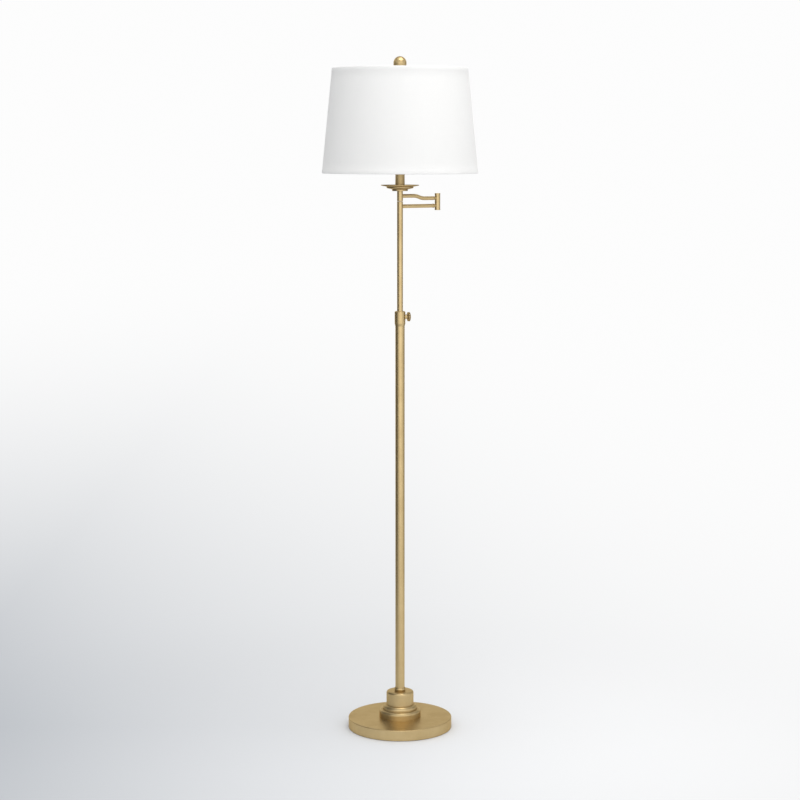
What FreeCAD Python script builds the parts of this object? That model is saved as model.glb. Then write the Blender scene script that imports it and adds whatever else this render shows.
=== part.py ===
import FreeCAD, Part
import math
import os

# A floor lamp with a swing arm: a weighted round base, a pole whose mast slides up and
# down under a thumb screw, two folding arms, and a shade on a harp above a drip pan.
# Millimetres. The origin is on the floor under the pole, Z is up, X is to the right and
# Y is to the back. Radii end in _R, heights above the floor in _Z, and walls in _WALL.

# ---- Driving dimensions ----------------------------------------------------------

# Base: a spun cover over a cast weight, on felt.
BASE_R = 125.0
BASE_TOP_Z = 26.2
BASE_WALL = 1.3
BASE_EDGE_R = 1.6
SHELL_FOOT_Z = 1.2
FELT_R = 121.5
FELT_H = 3.0
WEIGHT_R = 118.0
WEIGHT_TOP_Z = 20.0
WEIGHT_BOSS_R = 46.0
NUT_POCKET_R = 15.0
NUT_POCKET_H = 9.0

# Stepped cap on the base: a low drum and a bead, each with a rounded top, and a neck.
CAP_DRUM_R = 50.0
CAP_DRUM_TOP_Z = 45.5
CAP_DRUM_ROUND_R = 7.0
CAP_BEAD_R = 41.0
CAP_BEAD_TOP_Z = 57.0
CAP_NECK_R = 32.8
CAP_TOP_Z = 90.0
CAP_SHOULDER_R = 5.0
CAP_WALL = 1.2
CAP_BEAD_WALL = 2.4

# Cord inlet in the back of the base.
INLET_Z = 12.0
INLET_BORE_R = 3.2
INLET_BODY_R = 4.8
INLET_FLANGE_R = 6.6
INLET_FLANGE_H = 1.4
INLET_LENGTH = 8.0

# Threaded lamp pipe, its nuts and washer, the same size in the base and in the head.
PIPE_R = 4.95
PIPE_BORE_R = 3.6
PIPE_HOLE_R = 5.1
PIPE_END = 4.0
NUT_FLATS = 15.0
NUT_H = 3.6
WASHER_R = 11.5
WASHER_H = 1.6

# Lower pole, its foot ring and the clamp collar on its top.
POLE_R = 11.1
POLE_WALL = 1.0
POLE_TOP_Z = 990.0
FOOT_RING_R = 13.4
FOOT_RING_H = 8.0
BUSHING_H = 18.0
COLLAR_R = 12.7
COLLAR_TOP_Z = 1013.9
COLLAR_STEP_Z = 985.0
COLLAR_FOOT_Z = 978.7
COLLAR_CHAMFER = 1.6
LINER_R = 8.2
LINER_FLANGE_H = 2.0

# Thumb screw: it points to the right and a little to the back. Distances are from the
# lamp's axis along the screw.
SCREW_Z = 1000.4
SCREW_AZIMUTH = 14.0
SCREW_R = 2.4
SCREW_BOSS_R = 5.4
SCREW_BOSS_END = 15.4
SHOE_R = 3.0
SHOE_END = 8.6
SHOE_TRAVEL = 1.6
KNOB_R = 11.0
KNOB_HUB_R = 5.2
KNOB_START = 15.6
KNOB_RIM_START = 18.6
KNOB_RIM_END = 23.8
KNOB_END = 26.0
KNOB_EDGE = 0.8
KNOB_SOCKET = 5.0

# Mast: the thin tube that slides in the pole, at the height shown.
MAST_R = 6.9
MAST_WALL = 1.0
MAST_TOP_Z = 1248.0
MAST_RISE = 120.0
GUIDE_H = 12.0

# Arms: two level tubes of the same reach, folded one above the other. Distances are
# from the lamp's axis along the arms.
ARM_REACH = 103.0
ARM_AZIMUTH = 30.0
ARM_R = 4.45
ARM_WALL = 1.0
LOWER_ARM_Z = 1261.5
UPPER_ARM_Z = 1285.6
UPPER_ARM_DROP = 6.1
DROP_START = 36.6
DROP_END = 67.6
LOWER_TIP_START = 90.4
UPPER_TIP_START = 88.4
TIP_RING_R = 5.0
TIP_RING_H = 1.6
TIP_END_R = 3.5
TIP_SPIGOT = 6.0

# Pivot on top of the mast.
PLUG_DEPTH = 12.0
PLUG_FLANGE_H = 2.0
MAST_PIVOT_R = 4.0
PIVOT_EDGE = 0.4
FLEX_HOLE_R = 2.4
KNUCKLE_LOW_Z = 1250.6
KNUCKLE_TOP_Z = 1270.2
PIVOT_NUT_TOP_Z = 1273.0
NUT_ROOF = 0.9

# Elbow.
ELBOW_R = 6.45
ELBOW_CAP_R = 6.75
ELBOW_CAP_H = 2.4
ELBOW_LOW_Z = 1251.2
ELBOW_SPLIT_Z = 1271.2
ELBOW_TOP_Z = 1291.0
ELBOW_PIVOT_R = 3.6
ELBOW_WASHER_R = 6.1
ELBOW_WASHER_H = 0.5

# Head: stem, drip pan, neck and the ring that closes the neck.
STEM_LOW_Z = 1273.7
STEM_TOP_Z = 1297.5
STEM_THREAD = 7.0
PAN_FLOOR_R = 18.5
PAN_STEP_Z = 1301.0
PAN_BEAD_R = 32.0
PAN_BEAD_TOP_Z = 1307.4
PAN_BEAD_SIDE_H = 0.6
PAN_BEAD_ROUND_R = 3.2
PAN_RIM_R = 45.2
PAN_RIM_LOW_Z = 1310.3
PAN_RIM_Z = 1311.7
PAN_WALL = 1.0
NECK_LOW_R = 11.5
NECK_TOP_R = 10.8
NECK_WALL = 0.9
NECK_TOP_Z = 1335.5
NECK_RING_R = 12.0
NECK_RING_H = 3.0
NECK_RING_SPIGOT = 1.5

# Harp saddle and the sleeves that lock the harp's feet to its ears.
SADDLE_THICK = 1.6
SADDLE_WIDTH = 14.0
EAR_THICK = 1.2
EAR_WIDTH = 5.0
EAR_TOP_Z = 1354.0
SLEEVE_X = 22.0
SLEEVE_R = 4.2
SLEEVE_BORE_R = 3.6
SLEEVE_H = 12.0

# Harp and the stud in its top.
HARP_WIRE_R = 1.6
HARP_FOOT_X = 20.8
HARP_STRAIGHT_Z = 1357.0
HARP_FLARE_R = 25.0
HARP_FLARE_DEG = 50.0
HARP_HALF_WIDTH = 55.0
HARP_TOP_R = 14.0
HARP_FLAT_X = 6.0
HARP_TOP_Z = 1564.0
HARP_BOSS_R = 5.0
HARP_BOSS_H = 4.4
STUD_HEAD_R = 3.4
STUD_HEAD_H = 1.4
STUD_SHANK_R = 2.0
STUD_COLLAR_R = 5.5
STUD_THREAD_R = 3.1
STUD_TOP_Z = 1580.0

# Socket with a turn switch in its side. Heights ending in _H are above the saddle.
SOCKET_CAP_R = 16.5
SOCKET_HUB_R = 7.5
SOCKET_HUB_H = 6.0
SOCKET_DOME_H = 10.0
SOCKET_DOME_BULGE = 1.8
SOCKET_CAP_H = 18.0
SOCKET_BODY_H = 12.0
SOCKET_WALL = 0.6
SOCKET_LINER_WALL = 0.8
SOCKET_BODY_TOP_Z = 1376.0
SOCKET_TOP_Z = 1398.0
SCREW_SHELL_R = 13.8
SCREW_SHELL_WALL = 0.4
SCREW_SHELL_TOP_Z = 1396.0
CONTACT_R = 3.5
SWITCH_Z = 1366.5
SWITCH_AZIMUTH = -90.0
SWITCH_HOLE_R = 3.0
SWITCH_SHAFT_R = 1.6
SWITCH_SHAFT_START = 4.0
SWITCH_KNOB_R = 5.0
SWITCH_KNOB_WAIST_R = 3.0
SWITCH_KNOB_EDGE = 1.6
SWITCH_KNOB_START = 19.0
SWITCH_KNOB_END = 31.0

# Bulb.
BULB_TIP_Z = 1379.0
BULB_TIP_R = 4.5
BULB_BASE_R = 13.1
BULB_BASE_LOW_Z = 1384.5
BULB_BASE_TOP_Z = 1401.0
BULB_BASE_WALL = 0.5
BULB_R = 30.0
BULB_CENTRE_Z = 1458.0
BULB_NECK_R = 13.7
BULB_TAPER_DEG = 35.0
BULB_WALL = 1.0

# Shade: a fabric cone on a stiff liner, with a wire ring in a hem at each edge.
SHADE_TOP_R = 158.7
SHADE_TOP_Z = 1582.5
SHADE_LOW_R = 183.35
SHADE_LOW_Z = 1339.2
FABRIC_WALL = 0.8
SHADE_LINER_WALL = 0.8
HEM_WALL = 0.6
HEM_SLANT = 8.0
HEM_H = 12.0
RING_WIRE_R = 1.5

# Spider: the hub on the stud and its three spokes, which rise to the top ring.
HUB_R = 9.5
HUB_Z = 1569.2
HUB_H = 1.6
SPOKE_R = 1.5
SPOKE_START = 7.2
SPOKE_COUNT = 3
SPOKE_FIRST_AZIMUTH = 90.0
SPOKE_RISE_DEG = 35.0
SPOKE_BEND_R = 10.0

# Finial: a domed knob on a short neck.
FINIAL_R = 15.2
FINIAL_TOP_Z = 1610.0
FINIAL_FOOT_Z = 1586.0
FINIAL_FOOT_EDGE = 1.4
FINIAL_NECK_R = 5.6
FINIAL_NECK_TOP_Z = 1582.0

# Gaps: round a pin in its hole, along a pivot, and between fixed pieces.
RUNNING = 0.06
AXIAL = 0.05
LOOSE = 0.1

# ---- Sizes worked out from them ---------------------------------------------------

CAP_BEAD_ROUND_R = CAP_BEAD_R - CAP_NECK_R
POLE_BORE_R = POLE_R - POLE_WALL
MAST_BORE_R = MAST_R - MAST_WALL
ARM_BORE_R = ARM_R - ARM_WALL
LINER_LOW_Z = POLE_TOP_Z - LINER_FLANGE_H
GUIDE_TOP_Z = LINER_LOW_Z - MAST_RISE
MAST_FOOT_Z = GUIDE_TOP_Z - GUIDE_H
UPPER_ARM_LOW_Z = UPPER_ARM_Z - UPPER_ARM_DROP
ARM_INSET = MAST_R - 1.5
TIP_END = ARM_REACH - ELBOW_PIVOT_R - 0.8
ELBOW_BARREL_LOW_Z = ELBOW_LOW_Z + ELBOW_CAP_H
ELBOW_BARREL_TOP_Z = ELBOW_TOP_Z - ELBOW_CAP_H
PAN_FLOOR_Z = STEM_TOP_Z + PAN_WALL
NECK_RING_TOP_Z = NECK_TOP_Z + NECK_RING_H
EAR_X = HARP_FOOT_X + HARP_WIRE_R
SADDLE_TOP_Z = NECK_RING_TOP_Z + SADDLE_THICK
SOCKET_SHELL_R = SOCKET_CAP_R - SOCKET_WALL
SOCKET_LINER_R = SOCKET_SHELL_R - SOCKET_WALL
SOCKET_BODY_R = SOCKET_LINER_R - SOCKET_LINER_WALL
HARP_BOSS_LOW_Z = HARP_TOP_Z - HARP_BOSS_H / 2
HARP_BOSS_TOP_Z = HARP_TOP_Z + HARP_BOSS_H / 2
SHADE_SLOPE = (SHADE_LOW_R - SHADE_TOP_R) / (SHADE_TOP_Z - SHADE_LOW_Z)
SHADE_WALL = FABRIC_WALL + SHADE_LINER_WALL
RING_DEPTH = SHADE_WALL + LOOSE + RING_WIRE_R
TOP_RING_Z = SHADE_TOP_Z - HEM_WALL - RING_WIRE_R
LOW_RING_Z = SHADE_LOW_Z + HEM_WALL + RING_WIRE_R

V = FreeCAD.Vector
ORIGIN = V(0, 0, 0)
UP = V(0, 0, 1)
HALF_CORNER = 1 - math.sqrt(0.5)


# ---- Helpers ----------------------------------------------------------------------

def outline(start, *moves):
    """A wire in the XZ plane. A move is the next (x, z) point, or a pair of points:
    one that an arc passes through and the one where it ends."""
    edges = []
    here = V(start[0], 0, start[1])
    for move in moves:
        if isinstance(move[0], tuple):
            through, end = [V(x, 0, z) for x, z in move]
            edges.append(Part.Arc(here, through, end).toShape())
        else:
            end = V(move[0], 0, move[1])
            edges.append(Part.LineSegment(here, end).toShape())
        here = end
    return Part.Wire(edges)


def trail(start, heading, *steps):
    """A wire in the XZ plane as it is walked from a point on a heading, in degrees from
    X towards Z. A step is a straight length, or a bend's radius and angle, left positive."""
    edges = []
    here = V(start[0], 0, start[1])
    for step in steps:
        if isinstance(step, tuple):
            radius, turn = step
            side = math.radians(heading + math.copysign(90, turn))
            centre = here + V(math.cos(side), 0, math.sin(side)) * radius
            middle, end = [
                centre + FreeCAD.Rotation(V(0, -1, 0), angle).multVec(here - centre)
                for angle in (turn / 2, turn)
            ]
            edges.append(Part.Arc(here, middle, end).toShape())
            heading += turn
        else:
            ahead = math.radians(heading)
            end = here + V(math.cos(ahead), 0, math.sin(ahead)) * step
            edges.append(Part.LineSegment(here, end).toShape())
        here = end
    return Part.Wire(edges)


def swept(path, radius):
    """A round bar along a wire."""
    first = path.OrderedEdges[0]
    start = first.valueAt(first.FirstParameter)
    ahead = first.tangentAt(first.FirstParameter)
    section = Part.Wire(Part.makeCircle(radius, start, ahead))
    return path.makePipeShell([section], True, False)


def turned(start, *moves):
    """A solid turned about the Z axis from a closed outline of (radius, height)."""
    return Part.Face(outline(start, *moves, start)).revolve(ORIGIN, UP, 360)


def rod(radius, low, high):
    return Part.makeCylinder(radius, high - low, V(0, 0, low))


def tube(outer, bore, low, high):
    return rod(outer, low, high).cut(rod(bore, low, high))


def block(low, high):
    """A box between two opposite corners."""
    return Part.makeBox(high[0] - low[0], high[1] - low[1], high[2] - low[2], V(*low))


def hex_nut(low):
    """A hexagonal nut on the lamp pipe."""
    corner = V(NUT_FLATS / math.sqrt(3), 0, low)
    corners = [FreeCAD.Rotation(UP, 60 * n).multVec(corner) for n in range(7)]
    prism = Part.Face(Part.makePolygon(corners)).extrude(UP * NUT_H)
    return prism.cut(rod(PIPE_R, low, low + NUT_H))


def button(radius, low, high, edge, bore, depth):
    """A disc with a chamfered top and a blind bore in its underside."""
    return turned(
        (0, low + depth),
        (bore, low + depth),
        (bore, low),
        (radius, low),
        (radius, high - edge),
        (radius - edge, high),
        (0, high),
    )


def lying(shape, height, azimuth=0.0):
    """Lays a shape made along Z level, pointing from the lamp's axis to the azimuth."""
    shape.rotate(ORIGIN, V(0, 1, 0), 90)
    shape.rotate(ORIGIN, UP, azimuth)
    shape.translate(V(0, 0, height))
    return shape


def at_elbow(shape):
    """Moves a shape made on the Z axis to the elbow, before the arms are swung."""
    shape.translate(V(ARM_REACH, 0, 0))
    return shape


def swung(shape):
    """Swings a shape made over the X axis to where the arms point."""
    shape.rotate(ORIGIN, UP, ARM_AZIMUTH)
    return shape


def shade_r(z, depth=0.0):
    """Radius of the shade at a height, at this depth into its wall."""
    return SHADE_LOW_R - SHADE_SLOPE * (z - SHADE_LOW_Z) - depth


# ---- Base -------------------------------------------------------------------------

def base_felt():
    return rod(FELT_R, 0, FELT_H)


def base_shell():
    """Spun cover with a rounded rim, a hole for the pipe and one for the cord inlet."""
    corner = BASE_EDGE_R * HALF_CORNER
    inner_r = BASE_R - BASE_WALL
    inner_z = BASE_TOP_Z - BASE_WALL
    shell = turned(
        (PIPE_HOLE_R, inner_z),
        (inner_r, inner_z),
        (inner_r, SHELL_FOOT_Z),
        (BASE_R, SHELL_FOOT_Z),
        (BASE_R, BASE_TOP_Z - BASE_EDGE_R),
        ((BASE_R - corner, BASE_TOP_Z - corner), (BASE_R - BASE_EDGE_R, BASE_TOP_Z)),
        (PIPE_HOLE_R, BASE_TOP_Z),
    )
    return shell.cut(lying(rod(INLET_BODY_R, WEIGHT_R, BASE_R + BASE_WALL), INLET_Z, 90))


def base_weight():
    """Cast disc with a boss under the cap, a pocket for the nut and a groove for the cord."""
    boss_z = BASE_TOP_Z - BASE_WALL
    pocket_z = FELT_H + NUT_POCKET_H
    weight = turned(
        (PIPE_HOLE_R, pocket_z),
        (NUT_POCKET_R, pocket_z),
        (NUT_POCKET_R, FELT_H),
        (WEIGHT_R, FELT_H),
        (WEIGHT_R, WEIGHT_TOP_Z),
        (WEIGHT_BOSS_R + boss_z - WEIGHT_TOP_Z, WEIGHT_TOP_Z),
        (WEIGHT_BOSS_R, boss_z),
        (PIPE_HOLE_R, boss_z),
    )
    half = INLET_BODY_R + LOOSE
    groove = block((-half, 0, FELT_H), (half, BASE_R, INLET_Z + half))
    return weight.cut(groove.cut(rod(NUT_POCKET_R, pocket_z, boss_z)))


def cord_inlet_bushing():
    """Flanged bushing in the back of the cover, with the bore that the cord enters by."""
    flange_end = BASE_R + INLET_FLANGE_H
    inner_end = flange_end - INLET_LENGTH
    bushing = turned(
        (INLET_BORE_R, inner_end),
        (INLET_BODY_R, inner_end),
        (INLET_BODY_R, BASE_R),
        (INLET_FLANGE_R, BASE_R),
        (INLET_FLANGE_R, flange_end),
        (INLET_BORE_R, flange_end),
    )
    return lying(bushing, INLET_Z, 90)


def base_cap():
    """Stepped cap: a drum, a bead and a tall neck, hollow inside."""
    drum_corner = CAP_DRUM_ROUND_R * HALF_CORNER
    bead_corner = CAP_BEAD_ROUND_R * HALF_CORNER
    shoulder = CAP_SHOULDER_R * HALF_CORNER
    outside = turned(
        (0, BASE_TOP_Z),
        (CAP_DRUM_R, BASE_TOP_Z),
        (CAP_DRUM_R, CAP_DRUM_TOP_Z - CAP_DRUM_ROUND_R),
        ((CAP_DRUM_R - drum_corner, CAP_DRUM_TOP_Z - drum_corner),
         (CAP_DRUM_R - CAP_DRUM_ROUND_R, CAP_DRUM_TOP_Z)),
        (CAP_BEAD_R, CAP_DRUM_TOP_Z),
        (CAP_BEAD_R, CAP_BEAD_TOP_Z - CAP_BEAD_ROUND_R),
        ((CAP_BEAD_R - bead_corner, CAP_BEAD_TOP_Z - bead_corner), (CAP_NECK_R, CAP_BEAD_TOP_Z)),
        (CAP_NECK_R, CAP_TOP_Z - CAP_SHOULDER_R),
        ((CAP_NECK_R - shoulder, CAP_TOP_Z - shoulder), (CAP_NECK_R - CAP_SHOULDER_R, CAP_TOP_Z)),
        (0, CAP_TOP_Z),
    )
    drum_hollow = rod(CAP_DRUM_R - CAP_WALL, BASE_TOP_Z, CAP_DRUM_TOP_Z - CAP_DRUM_ROUND_R - CAP_WALL)
    bead_hollow = rod(CAP_BEAD_R - CAP_BEAD_WALL, BASE_TOP_Z, CAP_DRUM_TOP_Z)
    neck_hollow = rod(CAP_NECK_R - CAP_WALL, BASE_TOP_Z, CAP_TOP_Z - CAP_SHOULDER_R)
    crown_hollow = rod(CAP_NECK_R - CAP_SHOULDER_R, BASE_TOP_Z, CAP_TOP_Z - CAP_WALL)
    pipe_hole = rod(PIPE_HOLE_R, BASE_TOP_Z, CAP_TOP_Z)
    return outside.cut(drum_hollow.fuse([bead_hollow, neck_hollow, crown_hollow, pipe_hole]))


def lamp_pipe():
    """Threaded pipe that pulls the pole, cap, cover and weight together."""
    return tube(PIPE_R, PIPE_BORE_R, FELT_H + LOOSE, CAP_TOP_Z + BUSHING_H + PIPE_END)


def pipe_washer():
    return tube(WASHER_R, PIPE_HOLE_R, FELT_H + NUT_POCKET_H - WASHER_H, FELT_H + NUT_POCKET_H)


def pipe_nut():
    return hex_nut(FELT_H + NUT_POCKET_H - WASHER_H - NUT_H)


# ---- Pole and clamp ---------------------------------------------------------------

def pole_foot_bushing():
    """Threaded plug in the foot of the pole, on the lamp pipe."""
    return tube(POLE_BORE_R, PIPE_R, CAP_TOP_Z, CAP_TOP_Z + BUSHING_H)


def pole_foot_ring():
    edge_r = (POLE_R + FOOT_RING_R) / 2
    top_z = CAP_TOP_Z + FOOT_RING_H
    return turned(
        (POLE_R, CAP_TOP_Z),
        (edge_r, CAP_TOP_Z),
        ((FOOT_RING_R, CAP_TOP_Z + FOOT_RING_H / 2), (edge_r, top_z)),
        (POLE_R, top_z),
    )


def lower_pole():
    return tube(POLE_R, POLE_BORE_R, CAP_TOP_Z, POLE_TOP_Z)


def clamp_collar():
    """Collar on the pole's top, with a side boss threaded for the thumb screw."""
    collar = turned(
        (POLE_R, COLLAR_FOOT_Z),
        (POLE_R + LOOSE, COLLAR_FOOT_Z),
        (COLLAR_R, COLLAR_STEP_Z),
        (COLLAR_R, COLLAR_TOP_Z - COLLAR_CHAMFER),
        (COLLAR_R - COLLAR_CHAMFER, COLLAR_TOP_Z),
        (LINER_R, COLLAR_TOP_Z),
        (LINER_R, POLE_TOP_Z),
        (POLE_R, POLE_TOP_Z),
    )
    boss = lying(rod(SCREW_BOSS_R, (LINER_R + COLLAR_R) / 2, SCREW_BOSS_END), SCREW_Z, SCREW_AZIMUTH)
    shoe_hole = lying(rod(SHOE_R + RUNNING, 0, SHOE_END + SHOE_TRAVEL + LOOSE), SCREW_Z, SCREW_AZIMUTH)
    screw_hole = lying(rod(SCREW_R + RUNNING, 0, SCREW_BOSS_END), SCREW_Z, SCREW_AZIMUTH)
    return collar.fuse(boss).cut(shoe_hole.fuse(screw_hole))


def collar_liner():
    """Flanged sleeve that guides the mast, with a window for the clamp shoe."""
    bore_r = MAST_R + RUNNING
    liner_top_z = COLLAR_TOP_Z - AXIAL
    liner = turned(
        (bore_r, LINER_LOW_Z),
        (POLE_BORE_R - LOOSE, LINER_LOW_Z),
        (POLE_BORE_R - LOOSE, POLE_TOP_Z),
        (LINER_R, POLE_TOP_Z),
        (LINER_R, liner_top_z),
        (bore_r, liner_top_z),
    )
    return liner.cut(lying(rod(SHOE_R + RUNNING, 0, COLLAR_R), SCREW_Z, SCREW_AZIMUTH))


def clamp_shoe():
    """Pad between the screw and the mast, hollowed to the mast's round."""
    pad = lying(rod(SHOE_R, MAST_R / 2, SHOE_END), SCREW_Z, SCREW_AZIMUTH)
    return pad.cut(rod(MAST_R + RUNNING, SCREW_Z - KNOB_R, SCREW_Z + KNOB_R))


def thumb_screw():
    return lying(rod(SCREW_R, SHOE_END + AXIAL, KNOB_START + KNOB_SOCKET), SCREW_Z, SCREW_AZIMUTH)


def thumb_knob():
    """Round knob with a hub, a dished back and a domed face."""
    face_r = KNOB_R - KNOB_EDGE
    face_rise = KNOB_END - KNOB_RIM_END
    dome_r = (face_r ** 2 + face_rise ** 2) / (2 * face_rise)
    halfway = KNOB_END - dome_r + math.sqrt(dome_r ** 2 - face_r ** 2 / 4)
    knob = turned(
        (SCREW_R, KNOB_START),
        (KNOB_HUB_R, KNOB_START),
        (KNOB_HUB_R, KNOB_RIM_START + KNOB_EDGE),
        (face_r - KNOB_EDGE, KNOB_RIM_START),
        (face_r, KNOB_RIM_START),
        (KNOB_R, KNOB_RIM_START + KNOB_EDGE),
        (KNOB_R, KNOB_RIM_END - KNOB_EDGE),
        (face_r, KNOB_RIM_END),
        ((face_r / 2, halfway), (0, KNOB_END)),
        (0, KNOB_START + KNOB_SOCKET),
        (SCREW_R, KNOB_START + KNOB_SOCKET),
    )
    return lying(knob, SCREW_Z, SCREW_AZIMUTH)


# ---- Mast -------------------------------------------------------------------------

def mast_tube():
    return tube(MAST_R, MAST_BORE_R, MAST_FOOT_Z, MAST_TOP_Z)


def mast_guide_ring():
    """Sleeve on the mast's foot, which slides in the pole and stops under the liner."""
    return tube(POLE_BORE_R - RUNNING, MAST_R, MAST_FOOT_Z, GUIDE_TOP_Z)


def mast_pivot():
    """Plug in the mast's top with the hollow pivot that the lower arm turns on."""
    flange_z = MAST_TOP_Z + PLUG_FLANGE_H
    end_z = PIVOT_NUT_TOP_Z - NUT_ROOF
    pivot = turned(
        (FLEX_HOLE_R, MAST_TOP_Z - PLUG_DEPTH),
        (MAST_BORE_R, MAST_TOP_Z - PLUG_DEPTH),
        (MAST_BORE_R, MAST_TOP_Z),
        (MAST_R, MAST_TOP_Z),
        (MAST_R, flange_z),
        (MAST_PIVOT_R, flange_z),
        (MAST_PIVOT_R, end_z),
        (FLEX_HOLE_R, end_z),
    )
    return pivot.cut(lying(rod(FLEX_HOLE_R, 0, MAST_R), LOWER_ARM_Z, ARM_AZIMUTH))


def mast_pivot_washer():
    return tube(MAST_R - LOOSE, MAST_PIVOT_R + LOOSE, MAST_TOP_Z + PLUG_FLANGE_H, KNUCKLE_LOW_Z - AXIAL)


def mast_pivot_nut():
    """Round nut on the pivot's end, which keeps the lower arm on."""
    low_z = KNUCKLE_TOP_Z + AXIAL
    depth = PIVOT_NUT_TOP_Z - NUT_ROOF - low_z
    return button(MAST_R, low_z, PIVOT_NUT_TOP_Z, PIVOT_EDGE, MAST_PIVOT_R, depth)


# ---- Lower arm --------------------------------------------------------------------

def lower_arm_knuckle():
    """Barrel on the mast's pivot, with a socket for the arm and a hole for the flex."""
    barrel = tube(MAST_R, MAST_PIVOT_R + RUNNING, KNUCKLE_LOW_Z, KNUCKLE_TOP_Z)
    socket = lying(rod(ARM_R, ARM_INSET, 2 * MAST_R), LOWER_ARM_Z)
    flex_hole = lying(rod(FLEX_HOLE_R, 0, MAST_R), LOWER_ARM_Z)
    return swung(barrel.cut(socket.fuse(flex_hole)))


def lower_arm_tube():
    return swung(lying(tube(ARM_R, ARM_BORE_R, ARM_INSET, LOWER_TIP_START), LOWER_ARM_Z))


def lower_arm_tip():
    """Turned end of the lower arm: a ring and a neck that narrows to the elbow."""
    ring_end = LOWER_TIP_START + TIP_RING_H
    neck_end = ARM_REACH - ELBOW_R
    tip = turned(
        (FLEX_HOLE_R, LOWER_TIP_START - TIP_SPIGOT),
        (ARM_BORE_R, LOWER_TIP_START - TIP_SPIGOT),
        (ARM_BORE_R, LOWER_TIP_START),
        (TIP_RING_R, LOWER_TIP_START),
        (TIP_RING_R, ring_end),
        (ARM_R, ring_end),
        (TIP_END_R, neck_end),
        (TIP_END_R, TIP_END),
        (FLEX_HOLE_R, TIP_END),
    )
    return swung(lying(tip, LOWER_ARM_Z))


def elbow_lower_knuckle():
    top_z = ELBOW_SPLIT_Z - ELBOW_WASHER_H / 2
    barrel = at_elbow(tube(ELBOW_R, ELBOW_PIVOT_R, ELBOW_BARREL_LOW_Z, top_z))
    socket = lying(rod(TIP_END_R, ARM_REACH - 2 * ELBOW_R, TIP_END), LOWER_ARM_Z)
    flex_hole = lying(rod(FLEX_HOLE_R, TIP_END, ARM_REACH), LOWER_ARM_Z)
    return swung(barrel.cut(socket.fuse(flex_hole)))


def elbow_pivot():
    """Hollow pivot fixed in the lower knuckle, open to both arms for the flex."""
    pivot = at_elbow(tube(ELBOW_PIVOT_R, FLEX_HOLE_R, ELBOW_BARREL_LOW_Z, ELBOW_TOP_Z - NUT_ROOF))
    low_window = lying(rod(FLEX_HOLE_R, TIP_END, ARM_REACH), LOWER_ARM_Z)
    high_window = lying(rod(FLEX_HOLE_R, TIP_END, ARM_REACH), UPPER_ARM_LOW_Z)
    return swung(pivot.cut(low_window.fuse(high_window)))


def elbow_washer():
    low_z = ELBOW_SPLIT_Z - ELBOW_WASHER_H / 2
    return swung(at_elbow(tube(ELBOW_WASHER_R, ELBOW_PIVOT_R, low_z, low_z + ELBOW_WASHER_H - AXIAL)))


def elbow_bottom_cap():
    """Disc under the elbow, chamfered round its lower edge."""
    edge = PIVOT_EDGE
    return swung(at_elbow(turned(
        (0, ELBOW_LOW_Z),
        (ELBOW_CAP_R - edge, ELBOW_LOW_Z),
        (ELBOW_CAP_R, ELBOW_LOW_Z + edge),
        (ELBOW_CAP_R, ELBOW_BARREL_LOW_Z),
        (0, ELBOW_BARREL_LOW_Z),
    )))


def elbow_top_cap():
    """Cap on the pivot's end, which keeps the upper arm on."""
    low_z = ELBOW_BARREL_TOP_Z + AXIAL
    depth = ELBOW_TOP_Z - NUT_ROOF - low_z
    return swung(at_elbow(button(ELBOW_CAP_R, low_z, ELBOW_TOP_Z, PIVOT_EDGE, ELBOW_PIVOT_R, depth)))


# ---- Upper arm --------------------------------------------------------------------

def elbow_upper_knuckle():
    low_z = ELBOW_SPLIT_Z + ELBOW_WASHER_H / 2
    barrel = at_elbow(tube(ELBOW_R, ELBOW_PIVOT_R + RUNNING, low_z, ELBOW_BARREL_TOP_Z))
    socket = lying(rod(TIP_END_R, ARM_REACH - 2 * ELBOW_R, TIP_END), UPPER_ARM_LOW_Z)
    flex_hole = lying(rod(FLEX_HOLE_R, TIP_END, ARM_REACH), UPPER_ARM_LOW_Z)
    return swung(barrel.cut(socket.fuse(flex_hole)))


def upper_arm_tube():
    """Tube from the stem, which drops by two equal bends on its way to the elbow."""
    run = DROP_END - DROP_START
    turn = 2 * math.degrees(math.atan2(UPPER_ARM_DROP, run))
    radius = run / (2 * math.sin(math.radians(turn)))
    path = trail(
        (ARM_INSET, UPPER_ARM_Z),
        0,
        DROP_START - ARM_INSET,
        (radius, -turn),
        (radius, turn),
        UPPER_TIP_START - DROP_END,
    )
    return swung(swept(path, ARM_R).cut(swept(path, ARM_BORE_R)))


def upper_arm_tip():
    """Turned end of the upper arm, which narrows to the elbow."""
    neck_end = ARM_REACH - ELBOW_R
    tip = turned(
        (FLEX_HOLE_R, UPPER_TIP_START - TIP_SPIGOT),
        (ARM_BORE_R, UPPER_TIP_START - TIP_SPIGOT),
        (ARM_BORE_R, UPPER_TIP_START),
        (ARM_R + LOOSE, UPPER_TIP_START),
        (ARM_R + LOOSE, UPPER_TIP_START + TIP_RING_H),
        (TIP_END_R, neck_end),
        (TIP_END_R, TIP_END),
        (FLEX_HOLE_R, TIP_END),
    )
    return swung(lying(tip, UPPER_ARM_LOW_Z))


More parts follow.
